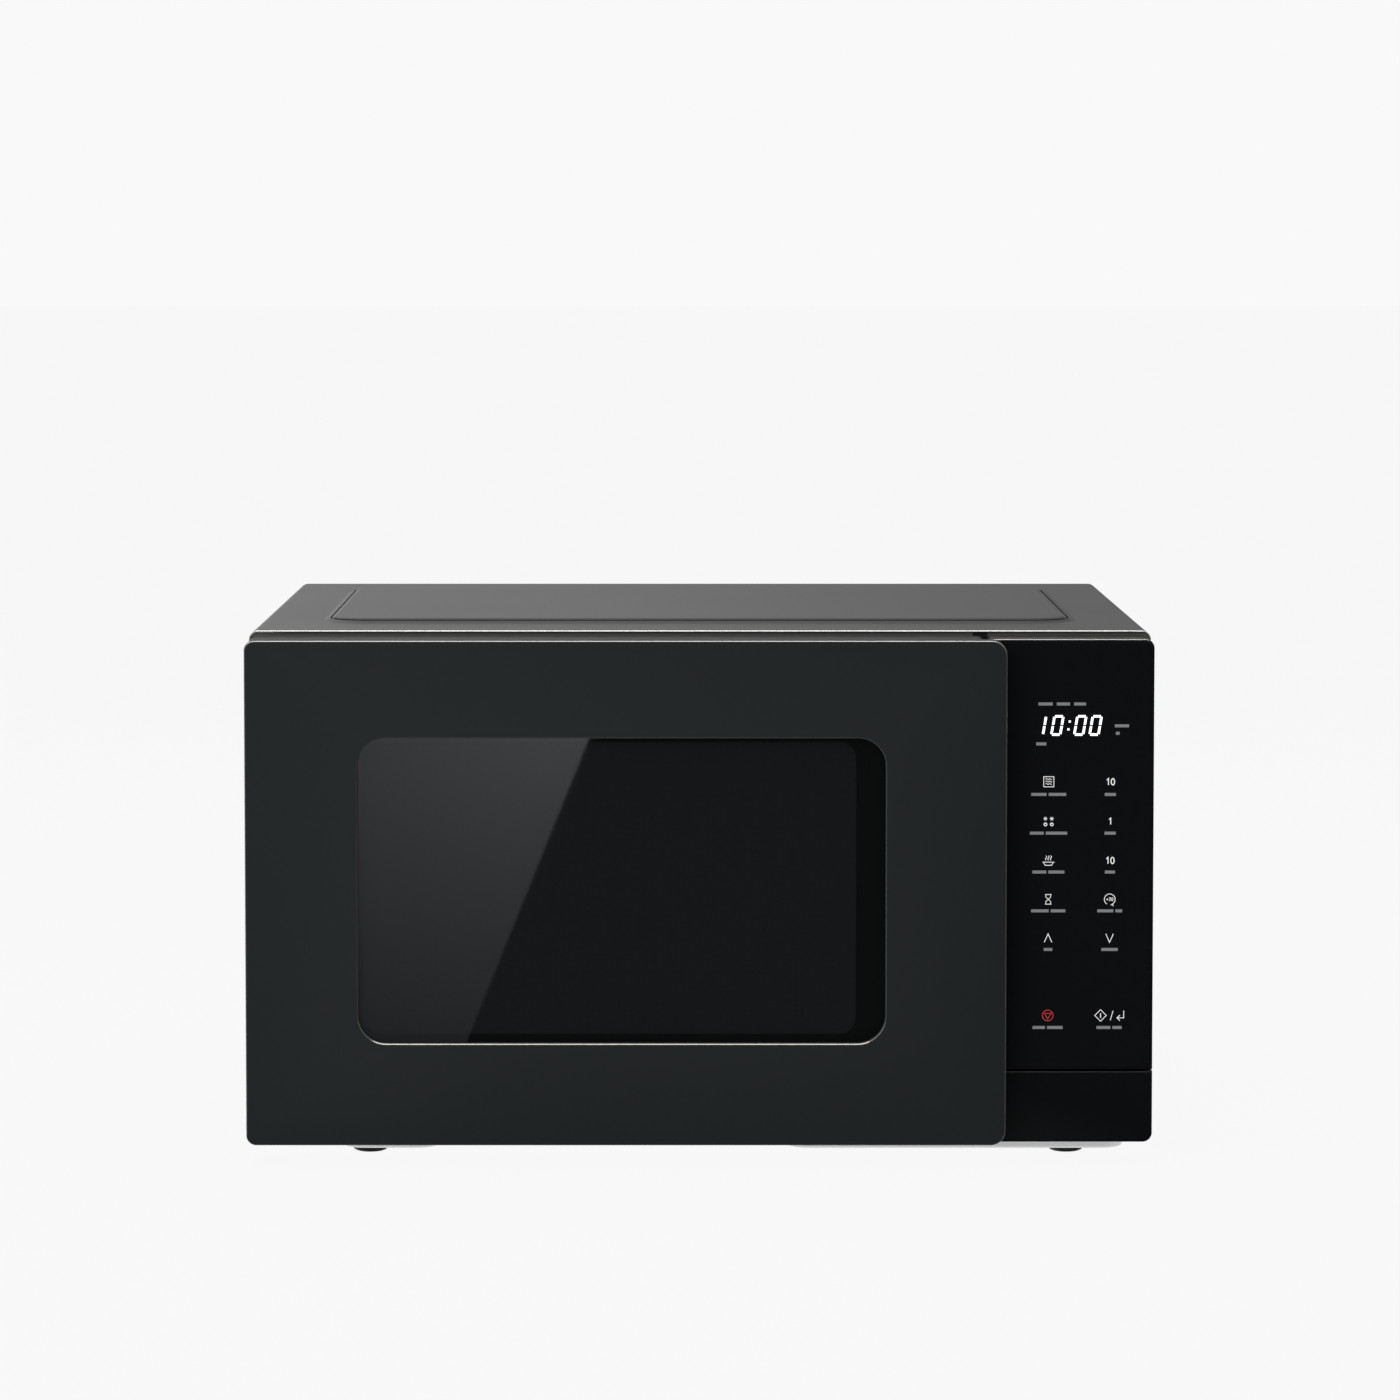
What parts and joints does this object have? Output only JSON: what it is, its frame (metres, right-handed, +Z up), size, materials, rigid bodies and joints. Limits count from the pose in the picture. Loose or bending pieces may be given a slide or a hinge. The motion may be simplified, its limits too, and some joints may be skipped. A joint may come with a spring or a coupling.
{
  "type": "countertop microwave oven",
  "caption": "Countertop microwave oven with a side-hinged windowed door, push-to-open button, glass turntable on rollers and working parts inside.",
  "frame": {"origin": "on the table surface, under the middle of the oven's bounding box", "axes": "+X to the oven's right and along its width, +Y to its back, +Z up; the door faces -Y"},
  "size_m": [0.485, 0.4, 0.287],
  "materials": {
    "cabinet_paint": "satin dark grey powder coat, fine orange peel",
    "zinc_steel": "bare zinc-plated sheet steel",
    "rubber_foot": "matt black moulded feet",
    "cavity_paint": "light grey baked enamel paint",
    "mica": "pressed mica sheet",
    "ferrite": "dark sintered ferrite",
    "aluminium": "mill finish",
    "core_steel": "varnished laminations",
    "copper_wire": "enamelled copper windings",
    "black_plastic": "moulded, fine texture",
    "white_plastic": "moulded, natural white",
    "red_plastic": "moulded",
    "ceramic": "glazed ceramic or heat-proof resin",
    "circuit_board": "solder-masked board",
    "panel_plastic": "black moulded, gloss",
    "panel_gloss": "high gloss black",
    "door_plastic": "dark charcoal, satin gloss",
    "window_glass": "smoke-tinted, polished",
    "screen_paint": "black painted perforated steel",
    "clear_film": "clear polished sheet",
    "spring_steel": "drawn wire",
    "lamp_glass": "frosted bulb",
    "tray_glass": "clear pressed glass"
  },
  "bodies": {
    "oven": {"cabinet": "cabinet_paint", "cabinet_screws": "zinc_steel", "rear_panel": "zinc_steel", "base_plate": "zinc_steel", "feet": "rubber_foot", "front_plate": "cavity_paint", "cavity": "cavity_paint", "waveguide_cover": "mica", "waveguide": "zinc_steel", "magnetron_yoke": "zinc_steel", "magnetron_magnets": "ferrite", "magnetron_anode": "aluminium", "magnetron_antenna": "zinc_steel", "magnetron_filter_box": "zinc_steel", "transformer_core": "core_steel", "transformer_windings": "copper_wire", "capacitor": "aluminium", "capacitor_clamp": "zinc_steel", "high_voltage_diode": "black_plastic", "fan_shroud": "white_plastic", "fan_motor": "core_steel", "air_duct": "white_plastic", "turntable_motor": "zinc_steel", "lamp": "lamp_glass", "lamp_socket": "ceramic", "latch_bracket": "white_plastic", "primary_switch": "black_plastic", "secondary_switch": "black_plastic", "monitor_switch": "red_plastic", "thermostat": "ceramic", "filter_board": "circuit_board", "fuse": "ceramic", "control_fascia": "panel_plastic", "touch_panel": "panel_gloss", "display_module": "black_plastic", "control_board": "circuit_board", "cord_gland": "black_plastic", "upper_hinge": "zinc_steel", "lower_hinge": "zinc_steel", "button_springs": "spring_steel"},
    "door": {"door_front": "door_plastic", "window_glass": "window_glass", "door_frame": "zinc_steel", "window_screen": "screen_paint", "choke_cover": "black_plastic", "inner_window": "clear_film"},
    "hook": {"door_hook": "white_plastic"},
    "button": {"open_button": "panel_plastic"},
    "lever": {"release_lever": "white_plastic"},
    "fan": {"fan_blade": "white_plastic"},
    "coupler": {"turntable_coupler": "white_plastic"},
    "tray": {"glass_tray": "tray_glass"},
    "ring": {"roller_ring": "white_plastic"},
    "roller_a": {"roller_1": "white_plastic"},
    "roller_b": {"roller_2": "white_plastic"},
    "roller_c": {"roller_3": "white_plastic"}
  },
  "joints": [
    {"name": "door_swing", "type": "hinge", "parent": "oven", "child": "door", "pos_m": [-0.2345, -0.181, 0.1465], "axis": [0, 0, -1], "range_deg": [0, 100]},
    {"name": "button_press", "type": "slide", "parent": "oven", "child": "button", "axis": [0, 1, 0], "range_m": [0, 0.003], "stiffness_N_per_m": 1500, "springref_m": -0.004},
    {"name": "hook_lift", "type": "slide", "parent": "door", "child": "hook", "axis": [0, 0, 1], "range_m": [0, 0.0024]},
    {"name": "lever_turn", "type": "hinge", "parent": "oven", "child": "lever", "pos_m": [0.155, -0.138, 0.018], "axis": [-1, 0, 0], "range_deg": [0, 6.9]},
    {"name": "fan_spin", "type": "hinge", "parent": "oven", "child": "fan", "pos_m": [0.18, 0.17, 0.19], "axis": [0, 1, 0], "continuous": true},
    {"name": "turntable_spin", "type": "hinge", "parent": "oven", "child": "coupler", "pos_m": [-0.041, 0.0055, 0.045], "axis": [0, 0, 1], "continuous": true},
    {"name": "tray_lift", "type": "slide", "parent": "coupler", "child": "tray", "axis": [0, 0, 1], "range_m": [0, 0.012]},
    {"name": "ring_spin", "type": "hinge", "parent": "oven", "child": "ring", "pos_m": [-0.041, 0.0055, 0.0493], "axis": [0, 0, 1], "continuous": true},
    {"name": "roller_a_spin", "type": "hinge", "parent": "ring", "child": "roller_a", "pos_m": [-0.041, 0.1015, 0.0493], "axis": [0, 1, 0], "continuous": true},
    {"name": "roller_b_spin", "type": "hinge", "parent": "ring", "child": "roller_b", "pos_m": [-0.12414, -0.0425, 0.0493], "axis": [-0.866, -0.5, 0], "continuous": true},
    {"name": "roller_c_spin", "type": "hinge", "parent": "ring", "child": "roller_c", "pos_m": [0.04214, -0.0425, 0.0493], "axis": [0.866, -0.5, 0], "continuous": true}
  ],
  "couplings": [
    {"joint": "hook_lift", "follows": "button_press", "ratio": 0.8},
    {"joint": "lever_turn", "follows": "button_press", "rad_per_m": 40},
    {"joint": "ring_spin", "follows": "turntable_spin", "ratio": 0.5},
    {"joint": "roller_a_spin", "follows": "turntable_spin", "ratio": -6.8571},
    {"joint": "roller_b_spin", "follows": "turntable_spin", "ratio": -6.8571},
    {"joint": "roller_c_spin", "follows": "turntable_spin", "ratio": -6.8571}
  ]
}
